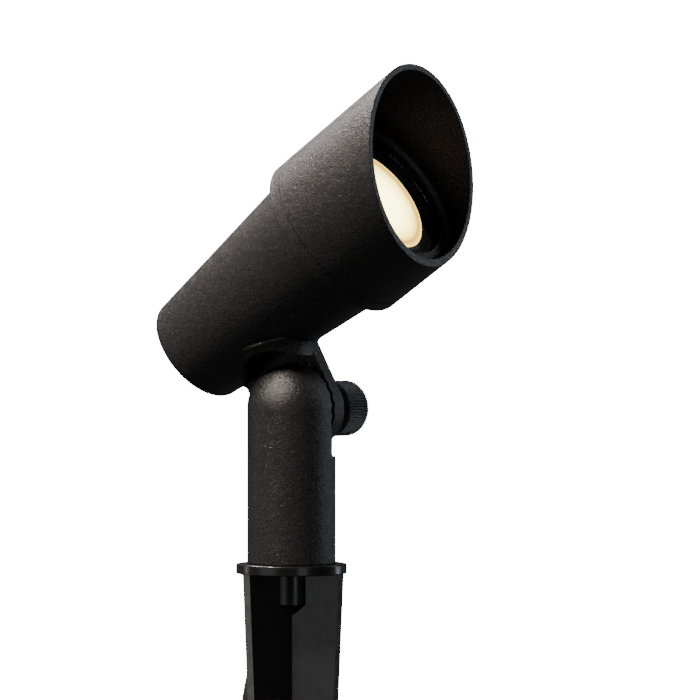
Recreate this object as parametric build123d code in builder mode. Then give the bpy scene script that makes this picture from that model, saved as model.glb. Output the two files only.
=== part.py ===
from build123d import *
import math
import os

# Landscape accent light on a ground stake.  Millimetres, +Z up.
# Origin: centre of the flange's underside, which seats on the ground.
# The head tilts about an X-parallel axis; the beam leaves towards -Y and up.

# ---------------------------------------------------------------- stake
FLANGE_R = 22.75
FLANGE_T = 4.0
FIN_T = 4.9
FIN_R_TOP = 22.45
FIN_R_LOW = 15.0
FIN_Z_LOW = -162.0
STAKE_TIP_Z = -228.0
FIN_ANGLES = (160.5, 280.5, 40.5)
BOSS_R = 7.9
BOSS_Z = -12.6
BOSS_CORE_R = 2.6
BOSS_CONE_Z = -17.3
NIPPLE_HOLE_R = 5.06

# ---------------------------------------------------------------- stem
STEM_R = 18.15
PIVOT_Z = 67.7
TILT_Z = 66.9
FLAT_X = 4.0
LEDGE_DROP = 19.8
STEM_BORE_R = 14.4
STEM_BASE_T = 4.0
STEM_BORE_TOP = 41.5

# ---------------------------------------------------------------- knuckle teeth
TEETH = 24
TOOTH_DEPTH = 1.3
TOOTH_R_OUT = 18.5
CHAMBER_R = 8.6
LUG_X = 4.3
LUG_FACE_X = 16.2
LUG_R_IN = 18.5
LUG_R_OUT = 15.1
LUG_TOP = 31.0
LUG_LEAN = 4.5
LUG_FILLET = 3.0
RELIEF_R = 23.4
NECK_R = 14.2
NECK_FLARE_R = 18.2
NECK_LEAN = 18.0

# ---------------------------------------------------------------- head
TILT = 33.56
AXIS_D = 46.2
S_REAR = -28.9
S_COLLAR = 57.3
S_PART = 62.7
S_SPIGOT = 72.0
R_COLLAR = 36.45
R_SPIGOT = 33.2
WALL = 3.0
REAR_FILLET = 3.3
CONE_K = 0.1061
CONE_R0 = 25.97

# ---------------------------------------------------------------- hood
S_HOOD = 63.05
HOOD_R_REAR = 36.5
HOOD_R_MOUTH = 36.85
HOOD_BORE_R = 33.26
S_MOUTH = 108.3
MOUTH_K = 0.505
S_FLOOR = 88.0
FLOOR_T = 1.6
FLOOR_R = 29.0
HOOD_IN_R0 = 33.5
HOOD_IN_R1 = 34.75
LENS_R = 31.0
LENS_T = 2.9

# ---------------------------------------------------------------- lamp
S_LAMP = 82.3
LAMP_LIT_R = 23.3
LAMP_R = 25.0

# ---------------------------------------------------------------- thumb screw
KNOB_R = 11.6
KNOB_X0 = 26.0
KNOB_X1 = 39.9
KNOB_COLLAR_R = 7.4
KNURLS = 64
SCREW_R = 4.0

# ---------------------------------------------------------------- lead
LEAD_D = 5.0
LEAD_DIR = 100.5
COIL_R = 28.0
COIL_SEC_R = 6.8
COIL_RHO = 24.0
COIL_Z = -121.0

os.makedirs("parts", exist_ok=True)

t = math.radians(TILT)
H = Vector(0, -math.cos(t), math.sin(t))
N = Vector(0, math.sin(t), math.cos(t))
X = Vector(1, 0, 0)
PIVOT = Vector(0, 0, PIVOT_Z)
AXO = PIVOT + N * AXIS_D
AXIS_HEAD = Axis(AXO, H)
AXIS_TILT = Axis((0, 0, TILT_Z), X)
PROF = Plane(origin=AXO, x_dir=N, z_dir=X)


def head_plane(s):
    return Plane(origin=AXO + H * s, x_dir=X, z_dir=H)


def tilt_plane(x):
    return Plane(origin=(x, 0, TILT_Z), x_dir=N, z_dir=X)


def neck_plane(w):
    return Plane(origin=PIVOT + N * w, x_dir=X, z_dir=N)


def cone_r(s):
    return CONE_R0 + s * CONE_K


def polar(rho, z, angle=LEAD_DIR):
    a = math.radians(angle)
    return (rho * math.cos(a), rho * math.sin(a), z)


def save(part, label):
    part.label = label
    export_step(part, "parts/" + label + ".step")
    print("%-18s solids %d volume %.1f" % (label, len(part.solids()), part.volume))


# ================================================================ knuckle grooves
# One V groove, radial, that narrows towards the tilt axis; the others are copies.
def groove_tools(x_face, direction, phase):
    r0, r1 = CHAMBER_R - 1.0, TOOTH_R_OUT + 1.6
    half = math.tan(math.radians(180.0 / TEETH))
    wires = []
    for r in (r0, r1):
        d = TOOTH_DEPTH * r / TOOTH_R_OUT
        w = r * half
        lift = 0.2
        k = (d + lift) / d
        pts = [
            (x_face - direction * lift, -w * k, TILT_Z + r),
            (x_face - direction * lift, w * k, TILT_Z + r),
            (x_face + direction * d, 0, TILT_Z + r),
        ]
        wires.append(Wire.make_polygon([Vector(*p) for p in pts], close=True))
    one = Solid.make_loft(wires, ruled=True)
    return [one.rotate(AXIS_TILT, phase + 360.0 / TEETH * i) for i in range(TEETH)]


STEP = 360.0 / TEETH
stem_grooves = groove_tools(FLAT_X, -1, 0.0)
lug_grooves = groove_tools(LUG_X, 1, STEP / 2)

# ================================================================ stake
# Lead route in the vertical plane between two fins.
P = [
    polar(0, 15.4),
    polar(0, -12.0),
    polar(15.4, -31.7),
    polar(20.6, -55.0),
    polar(23.5, -80.5),
    polar(COIL_RHO, COIL_Z + 15.0),
]


def lead_radii(points):
    v = [Vector(*p) for p in points]
    out = []
    for i in range(1, len(v) - 1):
        a, b = v[i] - v[i - 1], v[i + 1] - v[i]
        turn = a.get_angle(b)
        out.append(0.45 * min(a.length, b.length) / math.tan(math.radians(turn / 2)))
    return out


lead_r = lead_radii(P)
print("lead arc radii, mm:", [round(r, 1) for r in lead_r])

with BuildPart() as stake:
    with BuildSketch(Plane.XY):
        Circle(FLANGE_R)
    extrude(amount=FLANGE_T)
    fillet(stake.edges().filter_by(GeomType.CIRCLE), 0.5)
    with BuildSketch(Plane.XZ):
        with BuildLine():
            Polyline((0, 0.5), (BOSS_R, 0.5), (BOSS_R, BOSS_Z), (BOSS_CORE_R, BOSS_CONE_Z), (0, BOSS_CONE_Z), close=True)
        make_face()
    revolve(axis=Axis.Z)
    for angle in FIN_ANGLES:
        a = math.radians(angle)
        radial = Vector(math.cos(a), math.sin(a), 0)
        side = Vector(math.sin(a), -math.cos(a), 0)
        with BuildSketch(Plane(origin=(0, 0, 0), x_dir=radial, z_dir=side)):
            with BuildLine():
                Polyline((0, 0.5), (FIN_R_TOP, 0.5), (FIN_R_TOP, 0), (FIN_R_LOW, FIN_Z_LOW), (1.6, STAKE_TIP_Z), (0, STAKE_TIP_Z), close=True)
            make_face()
        extrude(amount=FIN_T / 2, both=True)
    # the lower part of each fin thins towards the tip
    with BuildSketch(Plane.XY.offset(STAKE_TIP_Z)):
        Circle(3.0)
    extrude(amount=10)
    with BuildSketch(Plane.XZ):
        with BuildLine():
            Polyline((0, STAKE_TIP_Z - 1), (30, STAKE_TIP_Z - 1), (30, STAKE_TIP_Z + 40), (1.2, STAKE_TIP_Z), (0, STAKE_TIP_Z), close=True)
        make_face()
    revolve(axis=Axis.Z, mode=Mode.SUBTRACT)
    # threaded hole for the stem's nipple
    with BuildSketch(Plane.XY.offset(FLANGE_T)):
        Circle(NIPPLE_HOLE_R)
    extrude(amount=-11.4, mode=Mode.SUBTRACT)
    # lead channel out of the boss, between two fins
    with BuildLine() as channel_path:
        FilletPolyline(*P, radius=lead_r)
    with BuildSketch(Plane(origin=P[0], z_dir=(0, 0, -1))):
        Circle(LEAD_D / 2 + 0.5)
    sweep(path=channel_path.line, mode=Mode.SUBTRACT)
save(stake.part, "stake")

with BuildPart() as lead_stop:
    with BuildSketch(Plane.XY.offset(12.8)):
        Circle(5.6)
        Circle(LEAD_D / 2, mode=Mode.SUBTRACT)
    extrude(amount=2.2)
    chamfer(lead_stop.edges().sort_by(Axis.Z)[-1], 0.6)
save(lead_stop.part, "lead_stop")

# ================================================================ stem
with BuildPart() as stem:
    with BuildSketch(Plane.XY.offset(FLANGE_T + 0.05)):
        Circle(STEM_R)
    extrude(amount=PIVOT_Z - FLANGE_T - 0.05)
    chamfer(stem.edges().filter_by(GeomType.CIRCLE).sort_by(Axis.Z)[0], 0.4)
    with Locations((0, 0, PIVOT_Z)):
        Sphere(STEM_R)
    with Locations((FLAT_X + 20, 0, PIVOT_Z - LEDGE_DROP + 30)):
        Box(40, 60, 60, mode=Mode.SUBTRACT)
    add(stem_grooves, mode=Mode.SUBTRACT)
    with BuildSketch(tilt_plane(FLAT_X)):
        Circle(CHAMBER_R)
    extrude(amount=-7.5, mode=Mode.SUBTRACT)
    with BuildSketch(tilt_plane(0)):
        Circle(SCREW_R + 0.06)
    extrude(amount=-14.4, mode=Mode.SUBTRACT)
    with BuildSketch(Plane.XY.offset(FLANGE_T + STEM_BASE_T)):
        Circle(STEM_BORE_R)
    extrude(amount=STEM_BORE_TOP - FLANGE_T - STEM_BASE_T, mode=Mode.SUBTRACT)
    with BuildSketch(Plane.XY.offset(STEM_BORE_TOP - 1)):
        Circle(2.7)
    extrude(amount=TILT_Z - 5 - STEM_BORE_TOP + 1, mode=Mode.SUBTRACT)
    with BuildSketch(Plane.XY):
        Circle(5.0)
    extrude(amount=FLANGE_T + STEM_BASE_T + 1, mode=Mode.SUBTRACT)
save(stem.part, "stem")

with BuildPart() as nipple:
    with BuildSketch(Plane.XY.offset(-4.6)):
        Circle(5.0)
        Circle(3.1, mode=Mode.SUBTRACT)
    extrude(amount=4.6 + 12.2)
save(nipple.part, "stem_nipple")

with BuildPart() as locknut:
    with BuildSketch(Plane.XY.offset(FLANGE_T + STEM_BASE_T + 1.0)):
        RegularPolygon(radius=8.1, side_count=6)
        Circle(5.0, mode=Mode.SUBTRACT)
    extrude(amount=3.0)
save(locknut.part, "stem_locknut")

with BuildPart() as lock_washer:
    with BuildSketch(Plane.XY.offset(FLANGE_T + STEM_BASE_T)):
        Circle(8.6)
        Circle(5.0, mode=Mode.SUBTRACT)
    extrude(amount=1.0)
save(lock_washer.part, "stem_washer")

with BuildPart() as stem_leads:
    for y in (-1.15, 1.15):
        with BuildLine() as wire_path:
            FilletPolyline((3.7, y, TILT_Z - 6.4), (0.0, y, TILT_Z - 6.4), (0.0, y, 15.9), radius=2.0)
        with BuildSketch(Plane(origin=(3.7, y, TILT_Z - 6.4), z_dir=(-1, 0, 0))):
            Circle(1.0)
        sweep(path=wire_path.line)
save(stem_leads.part, "stem_leads")

# ================================================================ thumb screw
with BuildPart() as knob:
    half_pitch = 180.0 / KNURLS
    pts = []
    for i in range(KNURLS * 2):
        r = KNOB_R if i % 2 == 0 else KNOB_R - 0.55
        a = math.radians(i * half_pitch)
        pts.append((r * math.cos(a), r * math.sin(a)))
    with BuildSketch(tilt_plane(KNOB_X0 + 0.5)):
        with BuildLine():
            Polyline(*pts, close=True)
        make_face()
    extrude(amount=KNOB_X1 - KNOB_X0 - 1.2)
    with BuildSketch(Plane(origin=(0, 0, TILT_Z), x_dir=X, z_dir=(0, -1, 0))):
        with BuildLine():
            Polyline(
                (17.75, 0), (17.75, KNOB_COLLAR_R), (KNOB_X0, KNOB_COLLAR_R), (KNOB_X0, KNOB_R - 0.9),
                (KNOB_X0 + 0.5, KNOB_R - 0.5), (KNOB_X1 - 0.7, KNOB_R - 0.5), (KNOB_X1, KNOB_R - 1.2),
                (KNOB_X1, 8.6), (KNOB_X1 - 0.8, 8.2), (KNOB_X1 - 0.8, 0), close=True,
            )
        make_face()
    revolve(axis=AXIS_TILT)
    with BuildSketch(tilt_plane(17.7)):
        Circle(SCREW_R)
    extrude(amount=15.0, mode=Mode.SUBTRACT)
save(knob.part, "thumb_knob")

with BuildPart() as screw:
    with BuildSketch(tilt_plane(-13.8)):
        Circle(SCREW_R)
    extrude(amount=13.8 + 32.4)
    chamfer(screw.edges().filter_by(GeomType.CIRCLE).sort_by(Axis.X)[0], 0.8)
save(screw.part, "thumb_screw")

with BuildPart() as thumb_washer:
    with BuildSketch(tilt_plane(16.5)):
        Circle(8.0)
        Circle(SCREW_R, mode=Mode.SUBTRACT)
    extrude(amount=1.2)
save(thumb_washer.part, "thumb_washer")

# ================================================================ head: housing
lean = math.radians(LUG_LEAN)
nl = math.radians(NECK_LEAN)
NECK_D = N * math.cos(nl) + H * math.sin(nl)
NECK_PLANE = Plane(origin=PIVOT, x_dir=X, z_dir=X.cross(NECK_D))
NECK_AXIS = Axis(PIVOT, NECK_D)
lug_mid = (LUG_TOP / 2 * math.cos(lean), LUG_TOP / 2 * math.sin(lean))

with BuildPart() as housing:
    # lug of the knuckle, leaning a little forward, thinner towards its outer face
    with BuildSketch(tilt_plane(LUG_X)):
        Circle(LUG_R_IN)
        with Locations(lug_mid):
            Rectangle(LUG_TOP, 2 * LUG_R_IN, rotation=LUG_LEAN)
    with BuildSketch(tilt_plane(LUG_FACE_X)):
        Circle(LUG_R_OUT)
        with Locations(lug_mid):
            Rectangle(LUG_TOP, 2 * LUG_R_OUT, rotation=LUG_LEAN)
    loft()
    with BuildSketch(PROF):
        with BuildLine():
            Polyline(
                (0, S_REAR), (cone_r(S_REAR), S_REAR), (cone_r(S_COLLAR), S_COLLAR), (R_COLLAR, S_COLLAR),
                (R_COLLAR, S_PART), (R_SPIGOT, S_PART), (R_SPIGOT, S_SPIGOT), (0, S_SPIGOT), close=True,
            )
        make_face()
    revolve(axis=AXIS_HEAD)
    root = [e for e in housing.edges(Select.NEW) if e.center().X > LUG_X + 1]
    fillet(root, LUG_FILLET)
    rear = housing.edges().filter_by(GeomType.CIRCLE).sort_by(AXIS_HEAD)[0]
    fillet(rear, REAR_FILLET)
    # round neck that flares into the body
    with BuildSketch(NECK_PLANE):
        with BuildLine():
            Polyline((0, 27.0), (0, 8.0), (NECK_R, 8.0), (NECK_R, 19.5))
            ThreePointArc((NECK_R, 19.5), (NECK_R + 1.3, 23.0), (NECK_FLARE_R, 26.0))
            Polyline((NECK_FLARE_R, 26.0), (NECK_FLARE_R, 27.0), (0, 27.0))
        make_face()
    revolve(axis=NECK_AXIS)
    # hollow of the body
    with BuildSketch(PROF):
        with BuildLine():
            Polyline(
                (0, S_REAR + 3.4), (cone_r(S_REAR + 3.4) - WALL - 1.5, S_REAR + 3.4), (cone_r(S_REAR + 5.4) - WALL, S_REAR + 5.4),
                (cone_r(S_COLLAR - 2) - WALL, S_COLLAR - 2), (29.4, S_COLLAR + 2), (29.4, S_SPIGOT + 1), (0, S_SPIGOT + 1), close=True,
            )
        make_face()
    revolve(axis=AXIS_HEAD, mode=Mode.SUBTRACT)
    # thick pad inside, over the knuckle's relief
    with BuildSketch(neck_plane(23.0)):
        with Locations((1.5, 0)):
            Circle(12.5)
    extrude(amount=5.4)
    # relief for the stem's round top
    with BuildSketch(Plane(origin=(-45.0, 0, PIVOT_Z), x_dir=N, z_dir=X)):
        Circle(RELIEF_R)
    extrude(amount=45.0 + LUG_X, mode=Mode.SUBTRACT)
    add(lug_grooves, mode=Mode.SUBTRACT)
    with BuildSketch(tilt_plane(LUG_X - 1)):
        Circle(CHAMBER_R)
    extrude(amount=8.0, mode=Mode.SUBTRACT)
    with BuildSketch(tilt_plane(LUG_X)):
        Circle(SCREW_R + 0.35)
    extrude(amount=20.0, mode=Mode.SUBTRACT)
    with BuildSketch(neck_plane(5.0)):
        with Locations((9.3, 0)):
            Circle(2.5)
    extrude(amount=25.0, mode=Mode.SUBTRACT)
    # seal groove round the spigot
    with BuildSketch(PROF):
        with Locations((R_SPIGOT, 68.0)):
            Rectangle(3.4, 2.6)
    revolve(axis=AXIS_HEAD, mode=Mode.SUBTRACT)
save(housing.part, "housing")

with BuildPart() as oring:
    with BuildSketch(PROF):
        with Locations((R_SPIGOT - 0.76, 68.0)):
            Circle(0.76)
    revolve(axis=AXIS_HEAD)
save(oring.part, "hood_seal")

# ================================================================ hood
with BuildPart() as hood:
    with BuildSketch(PROF):
        with BuildLine():
            Polyline((0, S_HOOD), (HOOD_R_REAR, S_HOOD), (HOOD_R_MOUTH, S_MOUTH), (HOOD_R_MOUTH + 0.1, 134.0), (0, 134.0), close=True)
        make_face()
    revolve(axis=AXIS_HEAD)
    # rear bore, lens seat, floor opening and the open front
    with BuildSketch(PROF):
        with BuildLine():
            Polyline(
                (0, S_HOOD - 1), (HOOD_BORE_R, S_HOOD - 1), (HOOD_BORE_R, 74.6), (LENS_R + 0.3, 75.6),
                (LENS_R + 0.3, S_FLOOR - FLOOR_T), (FLOOR_R, S_FLOOR - FLOOR_T), (FLOOR_R, S_FLOOR),
                (HOOD_IN_R0 - 1.6, S_FLOOR), (HOOD_IN_R0, S_FLOOR + 1.6), (HOOD_IN_R1, 135.0), (0, 135.0), close=True,
            )
        make_face()
    revolve(axis=AXIS_HEAD, mode=Mode.SUBTRACT)
    # slanting mouth, longer at the top
    with BuildSketch(PROF):
        with BuildLine():
            Polyline(
                (-50, S_MOUTH - 50 * MOUTH_K), (50, S_MOUTH + 50 * MOUTH_K), (50, 150), (-50, 150), close=True,
            )
        make_face()
    extrude(amount=60, both=True, mode=Mode.SUBTRACT)
    mouth = Vector(0, 0, 0) + (H * 1.0 - N * MOUTH_K).normalized()
    rim = hood.faces().filter_by(GeomType.PLANE).sort_by(Axis(AXO, mouth))[-1]
    fillet(rim.edges(), 0.45)
save(hood.part, "hood")

with BuildPart() as lens:
    with BuildSketch(head_plane(S_FLOOR - FLOOR_T - 0.05 - LENS_T)):
        Circle(LENS_R)
    extrude(amount=LENS_T)
    chamfer(lens.edges(), 0.3)
save(lens.part, "lens_glass")

with BuildPart() as gasket:
    with BuildSketch(head_plane(82.35)):
        Circle(LENS_R + 0.2)
        Circle(28.2, mode=Mode.SUBTRACT)
    extrude(amount=1.05)
save(gasket.part, "lens_gasket")

with BuildPart() as lens_ring:
    with BuildSketch(head_plane(80.8)):
        Circle(LENS_R + 0.28)
        Circle(27.4, mode=Mode.SUBTRACT)
    extrude(amount=1.5)
save(lens_ring.part, "lens_ring")

# ================================================================ lamp and socket
with BuildPart() as lamp_body:
    with BuildSketch(PROF):
        with BuildLine():
            Polyline(
                (0, 37.6), (9.6, 37.6), (9.6, 47.0), (13.0, 50.0), (LAMP_R, 77.5), (LAMP_R, S_LAMP), (LAMP_LIT_R + 0.05, S_LAMP),
                (LAMP_LIT_R + 0.05, 79.0), (22.3, 78.0), (11.2, 53.0), (0, 53.0), close=True,
            )
        make_face()
    revolve(axis=AXIS_HEAD)
save(lamp_body.part, "lamp_body")

with BuildPart() as lamp_optic:
    with BuildSketch(head_plane(79.1)):
        Circle(LAMP_LIT_R)
    extrude(amount=S_LAMP - 79.1)
    chamfer(lamp_optic.edges().sort_by(AXIS_HEAD)[-1], 0.5)
save(lamp_optic.part, "lamp_optic")

with BuildPart() as lamp_module:
    with BuildSketch(head_plane(53.0)):
        Circle(10.6)
    extrude(amount=1.6)
    with BuildSketch(head_plane(54.6)):
        Rectangle(7.0, 7.0)
    extrude(amount=1.2)
save(lamp_module.part, "lamp_module")

with BuildPart() as lamp_pins:
    with BuildSketch(head_plane(30.0)):
        with Locations((-2.65, 0), (2.65, 0)):
            Circle(0.75)
    extrude(amount=7.6)
save(lamp_pins.part, "lamp_pins")

with BuildPart() as lamp_socket:
    with BuildSketch(head_plane(22.0)):
        Circle(9.4)
    extrude(amount=15.2)
    chamfer(lamp_socket.edges().filter_by(GeomType.CIRCLE), 0.5)
    with BuildSketch(head_plane(28.0)):
        with Locations((-2.65, 0), (2.65, 0)):
            Circle(0.8)
    extrude(amount=12.0, mode=Mode.SUBTRACT)
    with BuildSketch(head_plane(22.0)):
        with Locations((0, 6.2), (0, -6.2)):
            Circle(1.25)
    extrude(amount=6.0, mode=Mode.SUBTRACT)
    with BuildSketch(head_plane(22.0)):
        with Locations((-2.65, 0), (2.65, 0)):
            Circle(1.05)
    extrude(amount=6.0, mode=Mode.SUBTRACT)
save(lamp_socket.part, "lamp_socket")

with BuildPart() as socket_plate:
    with BuildSketch(head_plane(20.6)):
        Circle(cone_r(20.6) - WALL - 0.05)
        with Locations((0, -19.5)):
            Circle(6.2, mode=Mode.SUBTRACT)
        with Locations((-2.65, 0), (2.65, 0)):
            Circle(1.3, mode=Mode.SUBTRACT)
        with Locations((0, 6.2), (0, -6.2)):
            Circle(1.25, mode=Mode.SUBTRACT)
        with Locations((-17.5, 0), (17.5, 0)):
            Circle(3.6, mode=Mode.SUBTRACT)
    extrude(amount=1.4)
save(socket_plate.part, "socket_plate")

with BuildPart() as socket_screws:
    for y in (6.2, -6.2):
        with BuildSketch(head_plane(18.8)):
            with Locations((0, y)):
                Circle(2.5)
        extrude(amount=1.8)
        with BuildSketch(head_plane(20.6)):
            with Locations((0, y)):
                Circle(1.25)
        extrude(amount=6.6)
save(socket_screws.part, "socket_screws")

# two insulated conductors from the socket, round the plate's notch, down the neck
def head_point(x, w, s):
    v = PIVOT + N * w + H * s
    return (x, v.Y, v.Z)


with BuildPart() as head_leads:
    for sx, lx in ((-2.65, -1.25), (2.65, 1.25)):
        pts = [
            head_point(sx, AXIS_D, 26.0),
            head_point(sx, AXIS_D, 12.0),
            head_point(9.3, AXIS_D - 11.0 + lx, lx),
            head_point(9.3, 6.5, lx),
            head_point(4.8, 6.5, lx),
        ]
        with BuildLine() as lead_path:
            FilletPolyline(*pts, radius=[3.0, 3.0, 2.0])
        with BuildSketch(Plane(origin=pts[0], z_dir=H * -1)):
            Circle(0.95)
        sweep(path=lead_path.line)
save(head_leads.part, "head_leads")

with BuildPart() as neck_grommet:
    with BuildSketch(neck_plane(28.4)):
        with Locations((9.3, 0)):
            Circle(4.2)
            Circle(2.3, mode=Mode.SUBTRACT)
    extrude(amount=1.6)
save(neck_grommet.part, "neck_grommet")

# ================================================================ external lead, coil, tie, connector
with BuildPart() as lead_cord:
    with BuildLine() as cord_path:
        FilletPolyline(*P, radius=lead_r)
    with BuildSketch(Plane(origin=P[0], z_dir=(0, 0, -1))):
        Circle(LEAD_D / 2)
    sweep(path=cord_path.line)
save(lead_cord.part, "lead_cord")
cord_len = sum(e.length for e in cord_path.line.edges())
print("lead tube length %.1f, volume/section %.1f" % (cord_len, lead_cord.part.volume / (math.pi * LEAD_D ** 2 / 4)))

ua = math.radians(LEAD_DIR)
U = Vector(math.cos(ua), math.sin(ua), 0)
W = Vector(-math.sin(ua), math.cos(ua), 0)
COIL_C = U * COIL_RHO - W * COIL_R + Vector(0, 0, COIL_Z)

with BuildPart() as lead_coil:
    with BuildSketch(Plane(origin=COIL_C, x_dir=W, z_dir=U.cross(W))):
        with Locations((COIL_R, 0)):
            Circle(COIL_SEC_R)
    revolve(axis=Axis(COIL_C, U))
save(lead_coil.part, "lead_coil")

tie_a = math.radians(-90.0)
TIE_C = COIL_C + (W * math.cos(tie_a) + Vector(0, 0, math.sin(tie_a))) * COIL_R
TIE_DIR = (W * -math.sin(tie_a) + Vector(0, 0, math.cos(tie_a)))
with BuildPart() as coil_tie:
    with BuildSketch(Plane(origin=TIE_C - TIE_DIR * 1.8, x_dir=U, z_dir=TIE_DIR)):
        Circle(COIL_SEC_R + 1.1)
        Circle(COIL_SEC_R + 0.12, mode=Mode.SUBTRACT)
    extrude(amount=3.6)
    head_o = TIE_C + (TIE_C - COIL_C).normalized() * (COIL_SEC_R + 2.2) - TIE_DIR * 2.4
    with BuildSketch(Plane(origin=head_o, x_dir=U, z_dir=TIE_DIR)):
        Rectangle(5.0, 3.4)
    extrude(amount=4.8)
save(coil_tie.part, "coil_tie")

# tail of the lead: leaves the coil straight down, below where the lead comes in
TAIL = [
    U * COIL_RHO + Vector(0, 0, COIL_Z - 15.0),
    U * COIL_RHO + Vector(0, 0, COIL_Z - 48.0),
]
with BuildPart() as lead_tail:
    with BuildSketch(Plane(origin=TAIL[0], z_dir=(0, 0, -1))):
        Circle(LEAD_D / 2)
    extrude(amount=(TAIL[0] - TAIL[1]).length)
save(lead_tail.part, "lead_tail")

CON_TOP = TAIL[1].Z
CON_C = U * COIL_RHO
CON_L = 36.0
CU = Vector(0, 1, 0)
CW = Vector(-1, 0, 0)


def con_plane(z):
    return Plane(origin=CON_C + Vector(0, 0, z), x_dir=CW, z_dir=Vector(0, 0, 1))


def con_face(u, dz):
    return Plane(origin=CON_C + Vector(0, 0, CON_TOP - 22.0 + dz) + CU * u, x_dir=CW, z_dir=CU)


with BuildPart() as boot:
    with BuildSketch(con_plane(CON_TOP)):
        Circle(4.4)
        Circle(LEAD_D / 2, mode=Mode.SUBTRACT)
    with BuildSketch(con_plane(CON_TOP + 11.0)):
        Circle(3.3)
        Circle(LEAD_D / 2, mode=Mode.SUBTRACT)
    loft()
save(boot.part, "connector_boot")

# base shell, with a channel across it for the supply cable
with BuildPart() as connector_base:
    with BuildSketch(con_plane(CON_TOP - CON_L)):
        with Locations((0, -2.5)):
            RectangleRounded(22.0, 13.0, 2.5)
    extrude(amount=CON_L)
    with BuildSketch(Plane(origin=CON_C + Vector(0, 0, CON_TOP - 22.0) + CW * -20, x_dir=CU, z_dir=CW)):
        with Locations((6.0, 0)):
            Rectangle(12.0, 12.6)
    extrude(amount=40, mode=Mode.SUBTRACT)
    with BuildSketch(con_face(0.1, 0)):
        with Locations((0, -3.2), (0, 3.2)):
            Circle(0.9)
    extrude(amount=-3.0, mode=Mode.SUBTRACT)
save(connector_base.part, "connector_base")

with BuildPart() as connector_pins:
    for dz in (-3.2, 3.2):
        with BuildSketch(con_face(-2.9, dz)):
            Circle(0.85)
        extrude(amount=4.0)
        with BuildSketch(con_face(1.1, dz)):
            Circle(0.85)
        with BuildSketch(con_face(2.6, dz)):
            Circle(0.15)
        loft()
save(connector_pins.part, "connector_pins")

# cap shell with four guide tabs; it draws straight off to open the channel
with BuildPart() as connector_cap:
    with BuildSketch(con_plane(CON_TOP - CON_L + 1.0)):
        with Locations((0, -12.3)):
            RectangleRounded(25.0, 6.0, 2.0)
    extrude(amount=CON_L - 2.0)
    for dz in (2.0, CON_L - 9.0):
        with BuildSketch(con_plane(CON_TOP - CON_L + dz)):
            with Locations((-11.9, -8.0), (11.9, -8.0)):
                Rectangle(1.2, 8.0)
        extrude(amount=6.0)
save(connector_cap.part, "connector_cap")

for name in ("H", "N", "COIL_C", "TIE_C", "TIE_DIR", "U", "W", "AXO"):
    v = globals()[name]
    print(name, round(v.X, 4), round(v.Y, 4), round(v.Z, 4))
print("tail", [tuple(round(c, 3) for c in (p.X, p.Y, p.Z)) for p in TAIL])
print("cord points", [tuple(round(c, 3) for c in p) for p in P])
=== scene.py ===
import math

import bmesh
import bpy
from mathutils import Matrix, Vector


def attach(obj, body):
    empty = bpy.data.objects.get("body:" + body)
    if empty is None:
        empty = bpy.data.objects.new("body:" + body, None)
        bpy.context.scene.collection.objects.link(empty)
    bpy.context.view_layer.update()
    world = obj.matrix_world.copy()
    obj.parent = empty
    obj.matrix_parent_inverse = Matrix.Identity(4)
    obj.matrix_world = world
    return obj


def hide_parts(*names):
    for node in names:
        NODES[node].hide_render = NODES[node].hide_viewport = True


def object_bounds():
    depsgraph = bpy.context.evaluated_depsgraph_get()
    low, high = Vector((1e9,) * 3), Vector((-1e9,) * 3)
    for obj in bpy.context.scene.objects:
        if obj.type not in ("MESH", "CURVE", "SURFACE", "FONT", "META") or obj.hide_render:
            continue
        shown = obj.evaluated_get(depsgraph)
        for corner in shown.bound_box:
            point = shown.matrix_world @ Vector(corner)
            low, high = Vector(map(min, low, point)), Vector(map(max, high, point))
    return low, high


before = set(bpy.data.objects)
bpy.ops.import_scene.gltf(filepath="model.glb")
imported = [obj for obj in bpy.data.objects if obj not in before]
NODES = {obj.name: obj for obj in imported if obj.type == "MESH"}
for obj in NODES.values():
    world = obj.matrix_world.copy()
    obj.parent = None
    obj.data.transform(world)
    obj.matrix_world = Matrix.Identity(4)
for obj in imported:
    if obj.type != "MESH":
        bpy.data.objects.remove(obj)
cad_box = [list(map(float, c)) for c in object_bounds()]

# ------------------------------------------------------------------ shared numbers, in metres
MM = 0.001
TILT = math.radians(33.56)
H = Vector((0, -math.cos(TILT), math.sin(TILT)))
N = Vector((0, math.sin(TILT), math.cos(TILT)))
X = Vector((1, 0, 0))
PIVOT = Vector((0, 0, 0.0677))
AXO = PIVOT + N * 0.0462


def head_matrix(s):
    """Local +Z along the beam, local +X to the row's +X, origin on the beam's axis."""
    m = Matrix.Identity(4)
    y = H.cross(X)
    for i, v in enumerate((X, y, H)):
        for j in range(3):
            m[j][i] = v[j]
    m.translation = AXO + H * (s * MM)
    return m


# ------------------------------------------------------------------ camera
phi = math.radians(55.0)
elev = math.radians(0.68)
back = Vector((-math.sin(phi) * math.cos(elev), -math.cos(phi) * math.cos(elev), math.sin(elev)))
right = Vector((math.cos(phi), -math.sin(phi), 0.0))
up = back.cross(right)
cam_data = bpy.data.cameras.new("camera")
cam_data.sensor_width = 36.0
cam_data.lens = 36.0 * 4131.0 / 700.0
cam_data.clip_start = 0.05
cam_data.clip_end = 20.0
cam = bpy.data.objects.new("camera", cam_data)
bpy.context.scene.collection.objects.link(cam)
rot = Matrix((right, up, back)).transposed()
cam.matrix_world = Matrix.Translation(PIVOT + right * 0.0240 + up * 0.0238 + back * 1.693) @ rot.to_4x4()
bpy.context.scene.camera = cam

# ------------------------------------------------------------------ the lead
LEAD_D = 0.005
ANG = math.radians(100.5)
U = Vector((math.cos(ANG), math.sin(ANG), 0))
W = Vector((-math.sin(ANG), math.cos(ANG), 0))
COIL_R = 0.028
COIL_RHO = 0.024
COIL_Z = -0.121
STRAND = 0.0046


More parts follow.
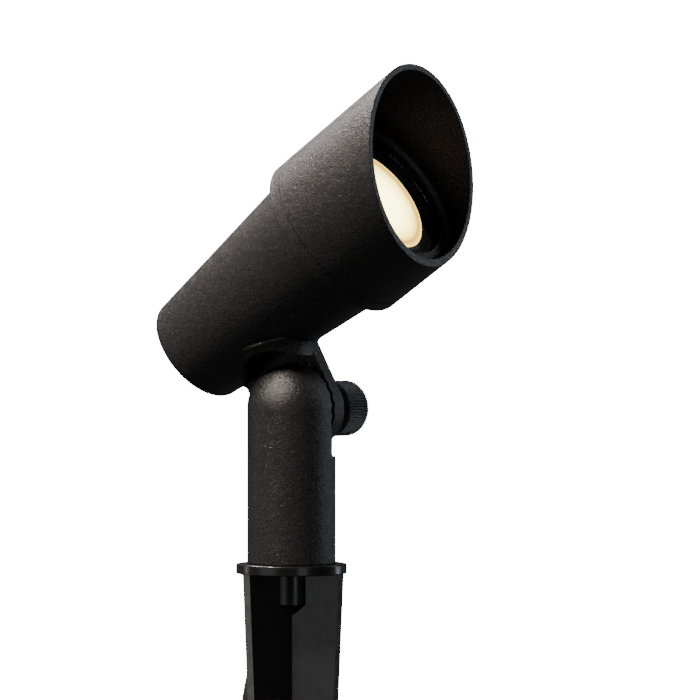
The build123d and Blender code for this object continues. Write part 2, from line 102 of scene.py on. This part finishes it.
def lead_at(rho, z):
    return U * (rho * MM) + Vector((0, 0, z * MM))


route = [
    lead_at(0, 15.4),
    lead_at(0, -12.0),
    lead_at(15.4, -31.7),
    lead_at(20.6, -55.0),
    lead_at(23.5, -80.5),
]
coil_centre = U * COIL_RHO - W * COIL_R + Vector((0, 0, COIL_Z))
TURNS = 4
STEPS = 16
coil_points = []
for i in range(TURNS * STEPS + 1):
    th = 2 * math.pi * i / STEPS
    psi = math.radians(250.0) + math.radians(72.0) * i / STEPS
    r = COIL_R + STRAND * math.cos(psi)
    # a NURBS of order 3 touches the middle of each side of its control polygon
    r /= math.cos(math.pi / STEPS)
    off = STRAND * math.sin(psi)
    coil_points.append(coil_centre + W * (r * math.cos(th)) - Vector((0, 0, r * math.sin(th))) + U * off)
entry = coil_points[0]
leave = coil_points[-1]
pts = list(route)
pts.append(Vector((entry.x, entry.y, COIL_Z + 0.016)))
pts += coil_points[1:-1]
tail_z = [COIL_Z - 0.012, COIL_Z - 0.030, COIL_Z - 0.048]
tail_top = U * COIL_RHO
pts.append(Vector((leave.x, leave.y, tail_z[0])))
pts.append(Vector((tail_top.x * 0.9 + leave.x * 0.1, tail_top.y * 0.9 + leave.y * 0.1, tail_z[1])))
pts.append(Vector((tail_top.x, tail_top.y, tail_z[2])))

lead_curve = bpy.data.curves.new("lead", "CURVE")
lead_curve.dimensions = "3D"
sp = lead_curve.splines.new("NURBS")
sp.points.add(len(pts) - 1)
for p, q in zip(sp.points, pts):
    p.co = (q.x, q.y, q.z, 1.0)
    p.radius = LEAD_D / 2
sp.order_u = 3
sp.use_endpoint_u = True
sp.resolution_u = 8
lead_curve.bevel_depth = 1.0
lead_curve.bevel_resolution = 6
lead_curve.use_fill_caps = True
lead = bpy.data.objects.new("lead", lead_curve)
bpy.context.scene.collection.objects.link(lead)
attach(lead, "stake")
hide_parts("lead_cord", "lead_coil", "lead_tail")


# ------------------------------------------------------------------ material helpers
def new_mat(name, base, rough, metallic=0.0, spec=0.5, coat=0.0, coat_rough=0.1, ior=1.5):
    m = bpy.data.materials.new(name)
    m.use_nodes = True
    nt = m.node_tree
    b = nt.nodes["Principled BSDF"]
    b.inputs["Base Color"].default_value = (*base, 1)
    b.inputs["Roughness"].default_value = rough
    b.inputs["Metallic"].default_value = metallic
    b.inputs["Specular IOR Level"].default_value = spec
    b.inputs["Coat Weight"].default_value = coat
    b.inputs["Coat Roughness"].default_value = coat_rough
    b.inputs["IOR"].default_value = ior
    return m, nt, b


def coords(nt):
    tc = nt.nodes.new("ShaderNodeTexCoord")
    return tc.outputs["Object"]


def noise(nt, vec, scale, detail=3.0, rough=0.5):
    n = nt.nodes.new("ShaderNodeTexNoise")
    n.inputs["Scale"].default_value = scale
    n.inputs["Detail"].default_value = detail
    n.inputs["Roughness"].default_value = rough
    nt.links.new(vec, n.inputs["Vector"])
    return n.outputs["Fac"]


def ramp(nt, fac, stops):
    r = nt.nodes.new("ShaderNodeValToRGB")
    e = r.color_ramp.elements
    while len(e) < len(stops):
        e.new(0.5)
    for el, (pos, col) in zip(e, stops):
        el.position = pos
        el.color = (*col, 1) if len(col) == 3 else col
    nt.links.new(fac, r.inputs["Fac"])
    return r.outputs["Color"]


def remap(nt, fac, lo, hi, a=0.0, b=1.0):
    n = nt.nodes.new("ShaderNodeMapRange")
    n.inputs["From Min"].default_value = a
    n.inputs["From Max"].default_value = b
    n.inputs["To Min"].default_value = lo
    n.inputs["To Max"].default_value = hi
    nt.links.new(fac, n.inputs["Value"])
    return n.outputs["Result"]


def math_node(nt, op, a, b=None):
    n = nt.nodes.new("ShaderNodeMath")
    n.operation = op
    for i, v in enumerate((a, b)):
        if v is None:
            continue
        if isinstance(v, (int, float)):
            n.inputs[i].default_value = v
        else:
            nt.links.new(v, n.inputs[i])
    return n.outputs[0]


def bump(nt, b, height, strength, distance, prev=None):
    n = nt.nodes.new("ShaderNodeBump")
    n.inputs["Strength"].default_value = strength
    n.inputs["Distance"].default_value = distance
    nt.links.new(height, n.inputs["Height"])
    if prev is not None:
        nt.links.new(prev, n.inputs["Normal"])
    nt.links.new(n.outputs["Normal"], b.inputs["Normal"])
    return n.outputs["Normal"]


def powder(name, base=(0.0085, 0.0080, 0.0078), grain=0.00022, rough=(0.24, 0.40)):
    """Textured powder coat: fine grains over a soft orange peel."""
    m, nt, b = new_mat(name, base, 0.5, spec=0.5)
    v = coords(nt)
    fine = noise(nt, v, 1500.0, 3.0, 0.62)
    vor = nt.nodes.new("ShaderNodeTexVoronoi")
    vor.inputs["Scale"].default_value = 1150.0
    nt.links.new(v, vor.inputs["Vector"])
    broad = noise(nt, v, 420.0, 2.0, 0.5)
    cloud = noise(nt, v, 38.0, 3.0, 0.55)
    c = ramp(nt, fine, [(0.30, tuple(x * 0.62 for x in base)), (0.52, base), (0.74, tuple(x * 3.2 for x in base))])
    mix = nt.nodes.new("ShaderNodeMix")
    mix.data_type = "RGBA"
    mix.blend_type = "MULTIPLY"
    mix.inputs["Factor"].default_value = 1.0
    nt.links.new(c, mix.inputs["A"])
    nt.links.new(ramp(nt, cloud, [(0.3, (0.86, 0.86, 0.86)), (0.7, (1.0, 1.0, 1.0))]), mix.inputs["B"])
    nt.links.new(mix.outputs["Result"], b.inputs["Base Color"])
    nt.links.new(remap(nt, fine, rough[0], rough[1], 0.3, 0.7), b.inputs["Roughness"])
    h = math_node(nt, "ADD", fine, math_node(nt, "MULTIPLY", vor.outputs["Distance"], -0.35))
    h = math_node(nt, "ADD", h, math_node(nt, "MULTIPLY", broad, 0.7))
    bump(nt, b, h, 1.0, grain * 1.4)
    return m


def plastic(name, base, rough, peel=0.00003, scale=500.0, spec=0.5, coat=0.0, wear=0.25):
    """Moulded plastic: a faint flow variation and a very shallow skin."""
    m, nt, b = new_mat(name, base, rough, spec=spec, coat=coat, coat_rough=0.12)
    v = coords(nt)
    fine = noise(nt, v, scale, 3.0, 0.55)
    cloud = noise(nt, v, 55.0, 4.0, 0.6)
    nt.links.new(ramp(nt, cloud, [(0.3, tuple(x * (1 - wear) for x in base)), (0.7, tuple(x * (1 + wear) for x in base))]), b.inputs["Base Color"])
    nt.links.new(remap(nt, fine, max(0.03, rough - 0.06), rough + 0.08, 0.3, 0.7), b.inputs["Roughness"])
    bump(nt, b, math_node(nt, "ADD", fine, math_node(nt, "MULTIPLY", cloud, 2.0)), 0.5, peel)
    return m


def metal(name, base, rough, scale=260.0, stretch=(1, 1, 14), deep=0.00002):
    """Turned or brushed metal: stretched fine lines and slight tarnish."""
    m, nt, b = new_mat(name, base, rough, metallic=1.0)
    v = coords(nt)
    mp = nt.nodes.new("ShaderNodeMapping")
    mp.inputs["Scale"].default_value = stretch
    nt.links.new(v, mp.inputs["Vector"])
    fine = noise(nt, mp.outputs["Vector"], scale, 3.0, 0.6)
    cloud = noise(nt, v, 90.0, 3.0, 0.6)
    nt.links.new(ramp(nt, cloud, [(0.3, tuple(x * 0.8 for x in base)), (0.7, base)]), b.inputs["Base Color"])
    nt.links.new(remap(nt, fine, rough - 0.08, rough + 0.12, 0.3, 0.7), b.inputs["Roughness"])
    bump(nt, b, fine, 0.5, deep)
    return m


def assign(obj, mat):
    if obj.type == "MESH":
        obj.data.materials.clear()
        obj.data.materials.append(mat)
        for p in obj.data.polygons:
            p.material_index = 0
    else:
        obj.data.materials.clear()
        obj.data.materials.append(mat)


M_COAT = powder("powder_coat")
M_STAKE = plastic("stake_plastic", (0.0085, 0.0087, 0.0092), 0.24, peel=0.00002, scale=260.0, spec=0.5)
M_CABLE = plastic("cable_jacket", (0.016, 0.016, 0.017), 0.42, peel=0.00002, scale=700.0)
M_RUBBER = plastic("rubber", (0.014, 0.014, 0.014), 0.62, peel=0.00004, scale=800.0)
M_CONN = plastic("connector_plastic", (0.014, 0.014, 0.0145), 0.4, peel=0.00003, scale=900.0)
M_WIRE = plastic("wire_jacket", (0.02, 0.02, 0.022), 0.38, peel=0.00001, scale=900.0)
M_STEEL = metal("steel", (0.56, 0.56, 0.57), 0.32)
M_BRASS = metal("brass", (0.72, 0.53, 0.24), 0.3)
M_SILICONE = plastic("silicone", (0.42, 0.42, 0.40), 0.55, peel=0.00002, scale=600.0, wear=0.1)
M_CERAMIC = plastic("ceramic", (0.72, 0.70, 0.65), 0.6, peel=0.00004, scale=900.0, wear=0.08)
M_LAMP = plastic("lamp_white", (0.70, 0.68, 0.62), 0.45, peel=0.00002, scale=500.0, wear=0.06)

M_LAMPBLACK = plastic("lamp_black", (0.012, 0.012, 0.012), 0.4, peel=0.00002, scale=600.0)
M_BLACKSTEEL = plastic("black_ring", (0.010, 0.010, 0.010), 0.35, peel=0.00001, scale=600.0)
M_INSIDE = powder("powder_coat_knob", base=(0.022, 0.023, 0.026))

for node, mat in {
    "stake": M_STAKE, "lead_stop": M_RUBBER, "coil_tie": M_CONN, "connector_boot": M_RUBBER, "connector_base": M_CONN,
    "connector_pins": M_BRASS, "connector_cap": M_CONN, "stem": M_COAT, "stem_nipple": M_STEEL, "stem_locknut": M_STEEL,
    "stem_washer": M_STEEL, "stem_leads": M_WIRE, "thumb_knob": M_INSIDE, "thumb_screw": M_STEEL, "thumb_washer": M_STEEL,
    "housing": M_COAT, "head_leads": M_WIRE, "neck_grommet": M_RUBBER, "lamp_socket": M_CERAMIC, "socket_plate": M_STEEL,
    "socket_screws": M_STEEL, "lamp_body": M_LAMPBLACK, "lamp_pins": M_STEEL, "hood_seal": M_SILICONE, "hood": M_COAT,
    "lens_gasket": M_RUBBER, "lens_ring": M_BLACKSTEEL,
}.items():
    assign(NODES[node], mat)
assign(lead, M_CABLE)


# clear glass in front of the lamp
def glass_material():
    m, nt, b = new_mat("lens_glass", (0.97, 0.985, 0.98), 0.02, ior=1.45, spec=0.5)
    b.inputs["Transmission Weight"].default_value = 1.0
    v = coords(nt)
    nt.links.new(remap(nt, noise(nt, v, 120.0, 4.0, 0.6), 0.0, 0.05, 0.35, 0.75), b.inputs["Roughness"])
    return m


assign(NODES["lens_glass"], glass_material())


# the lit optic: white hot centre, a warm ring inside the rim, shallow prisms
def optic_material():
    m, nt, b = new_mat("lit_optic", (0.95, 0.93, 0.86), 0.25)
    v = coords(nt)
    sub = nt.nodes.new("ShaderNodeVectorMath")
    sub.operation = "SUBTRACT"
    sub.inputs[1].default_value = tuple(AXO)
    nt.links.new(v, sub.inputs[0])
    cr = nt.nodes.new("ShaderNodeVectorMath")
    cr.operation = "CROSS_PRODUCT"
    cr.inputs[1].default_value = tuple(H)
    nt.links.new(sub.outputs["Vector"], cr.inputs[0])
    ln = nt.nodes.new("ShaderNodeVectorMath")
    ln.operation = "LENGTH"
    nt.links.new(cr.outputs["Vector"], ln.inputs[0])
    rr = remap(nt, ln.outputs["Value"], 0.0, 1.0, 0.0, 0.0250)
    col = ramp(nt, rr, [(0.0, (1.0, 0.88, 0.42)), (0.55, (1.0, 0.85, 0.28)), (0.74, (1.0, 0.76, 0.14)), (0.84, (1.0, 0.48, 0.04)), (0.91, (1.0, 0.70, 0.14)), (0.97, (0.60, 0.28, 0.04))])
    nt.links.new(col, b.inputs["Emission Color"])
    st = nt.nodes.new("ShaderNodeValToRGB")
    e = st.color_ramp.elements
    e[0].position, e[0].color = 0.0, (1, 1, 1, 1)
    e[1].position, e[1].color = 1.0, (0.05, 0.05, 0.05, 1)
    for pos, val in ((0.5, 0.85), (0.74, 0.48), (0.84, 0.17), (0.91, 0.34)):
        n = e.new(pos)
        n.color = (val, val, val, 1)
    nt.links.new(rr, st.inputs["Fac"])
    # concentric prisms
    wave = nt.nodes.new("ShaderNodeMath")
    wave.operation = "SINE"
    nt.links.new(math_node(nt, "MULTIPLY", ln.outputs["Value"], 2 * math.pi / 0.0016), wave.inputs[0])
    wav = remap(nt, wave.outputs[0], 0.86, 1.0, -1.0, 1.0)
    s = math_node(nt, "MULTIPLY", st.outputs["Color"], wav)
    nt.links.new(math_node(nt, "MULTIPLY", s, 13.0), b.inputs["Emission Strength"])
    bump(nt, b, wave.outputs[0], 0.6, 0.0001)
    m.cycles.emission_sampling = "NONE"
    return m


assign(NODES["lamp_optic"], optic_material())
NODES["lamp_optic"].visible_diffuse = False
NODES["lamp_optic"].visible_glossy = False
NODES["lens_glass"].visible_diffuse = False
NODES["lens_glass"].visible_glossy = False
m_led, nt_led, b_led = new_mat("led_board", (0.9, 0.84, 0.55), 0.4)
nt_led.links.new(ramp(nt_led, noise(nt_led, coords(nt_led), 300.0), [(0.3, (1.0, 0.72, 0.30)), (0.7, (1.0, 0.80, 0.42))]), b_led.inputs["Emission Color"])
b_led.inputs["Emission Strength"].default_value = 2.0
assign(NODES["lamp_module"], m_led)

# ------------------------------------------------------------------ the light the lamp throws into the hood
spot_data = bpy.data.lights.new("lamp_glow", "AREA")
spot_data.shape = "DISK"
spot_data.size = 0.040
spot_data.energy = 0.0022
spot_data.color = (1.0, 0.72, 0.56)
spot_data.spread = math.radians(150)
spot = bpy.data.objects.new("lamp_glow", spot_data)
bpy.context.scene.collection.objects.link(spot)
m = head_matrix(88.4)
spot.matrix_world = m @ Matrix.Rotation(math.pi, 4, "X")

# ------------------------------------------------------------------ floor, backdrop, studio light
FLOOR_Z = cad_box[0][2] - 0.002


def disc_mesh(name, radius, z, rings=6, segs=96):
    me = bpy.data.meshes.new(name)
    bm = bmesh.new()
    last = None
    centre = bm.verts.new((0, 0, z))
    for k in range(1, rings + 1):
        row = [bm.verts.new((radius * k / rings * math.cos(2 * math.pi * i / segs), radius * k / rings * math.sin(2 * math.pi * i / segs), z)) for i in range(segs)]
        for i in range(segs):
            if last is None:
                bm.faces.new((centre, row[i], row[(i + 1) % segs]))
            else:
                bm.faces.new((last[i], row[i], row[(i + 1) % segs], last[(i + 1) % segs]))
        last = row
    bm.to_mesh(me)
    bm.free()
    o = bpy.data.objects.new(name, me)
    bpy.context.scene.collection.objects.link(o)
    return o


floor = disc_mesh("floor", 1.25, FLOOR_Z)
m_floor, nt_floor, b_floor = new_mat("floor_paper", (0.86, 0.86, 0.86), 0.9, spec=0.1)
nt_floor.links.new(ramp(nt_floor, noise(nt_floor, coords(nt_floor), 3.0), [(0.3, (0.84, 0.84, 0.84)), (0.7, (0.88, 0.88, 0.88))]), b_floor.inputs["Base Color"])
assign(floor, m_floor)
floor.visible_diffuse = False
floor.visible_glossy = False

# a far white backdrop that is seen but gives the object no light
me_dome = bpy.data.meshes.new("backdrop")
bm_dome = bmesh.new()
bmesh.ops.create_uvsphere(bm_dome, u_segments=64, v_segments=32, radius=9.0)
bm_dome.to_mesh(me_dome)
bm_dome.free()
dome = bpy.data.objects.new("backdrop", me_dome)
bpy.context.scene.collection.objects.link(dome)
m_dome = bpy.data.materials.new("backdrop_white")
m_dome.use_nodes = True
nt_dome = m_dome.node_tree
nt_dome.nodes.clear()
em = nt_dome.nodes.new("ShaderNodeEmission")
em.inputs["Color"].default_value = (1, 1, 1, 1)
em.inputs["Strength"].default_value = 18.0
om = nt_dome.nodes.new("ShaderNodeOutputMaterial")
nt_dome.links.new(em.outputs["Emission"], om.inputs["Surface"])
assign(dome, m_dome)
dome.visible_diffuse = False
dome.visible_glossy = False
dome.visible_shadow = False
dome.visible_transmission = False

world = bpy.data.worlds.new("world")
bpy.context.scene.world = world
world.use_nodes = True
wn = world.node_tree
bg = wn.nodes["Background"]
bg.inputs["Color"].default_value = (1, 1, 1, 1)
bg.inputs["Strength"].default_value = 0.06


def area(name, at, look, size, energy, color=(1, 1, 1), shape="RECTANGLE", spread=180):
    d = bpy.data.lights.new(name, "AREA")
    d.shape = shape
    d.size = size[0]
    d.size_y = size[1]
    d.energy = energy
    d.color = color
    d.spread = math.radians(spread)
    o = bpy.data.objects.new(name, d)
    o.location = at
    o.rotation_euler = (Vector(look) - Vector(at)).to_track_quat("-Z", "Y").to_euler()
    bpy.context.scene.collection.objects.link(o)
    return o


TARGET = PIVOT + Vector((0, 0, 0.05))


def rel(r, u, b):
    """A place given by how far it is to the camera's right, up and towards the camera, from the object."""
    return TARGET + right * r + Vector((0, 0, 1)) * u + Vector((back.x, back.y, 0)).normalized() * b


area("key_left", rel(-0.78, 1.15, 0.50), TARGET, (0.18, 0.18), 52.0, (1.0, 0.90, 0.80))
area("top_back", rel(-0.55, 1.00, -0.75), TARGET, (0.50, 0.35), 26.0, (1.0, 0.93, 0.88))
area("rim_right", rel(1.05, 0.25, -0.45), TARGET, (0.20, 1.20), 3.4, (0.80, 0.90, 1.0))
area("rim_left", rel(-1.05, 0.05, -0.30), TARGET, (0.16, 1.20), 1.4, (1.0, 0.97, 0.94))
area("front_high", rel(0.05, 0.65, 1.40), TARGET, (0.60, 0.60), 1.3, (1.0, 0.98, 0.97))
area("card_left", rel(-1.15, -0.35, 1.00), TARGET, (1.00, 1.20), 2.3, (0.98, 0.98, 1.0))
area("card_right", rel(0.60, -0.10, 1.35), TARGET, (0.40, 1.00), 1.3, (0.94, 0.97, 1.0))

bpy.context.view_layer.update()
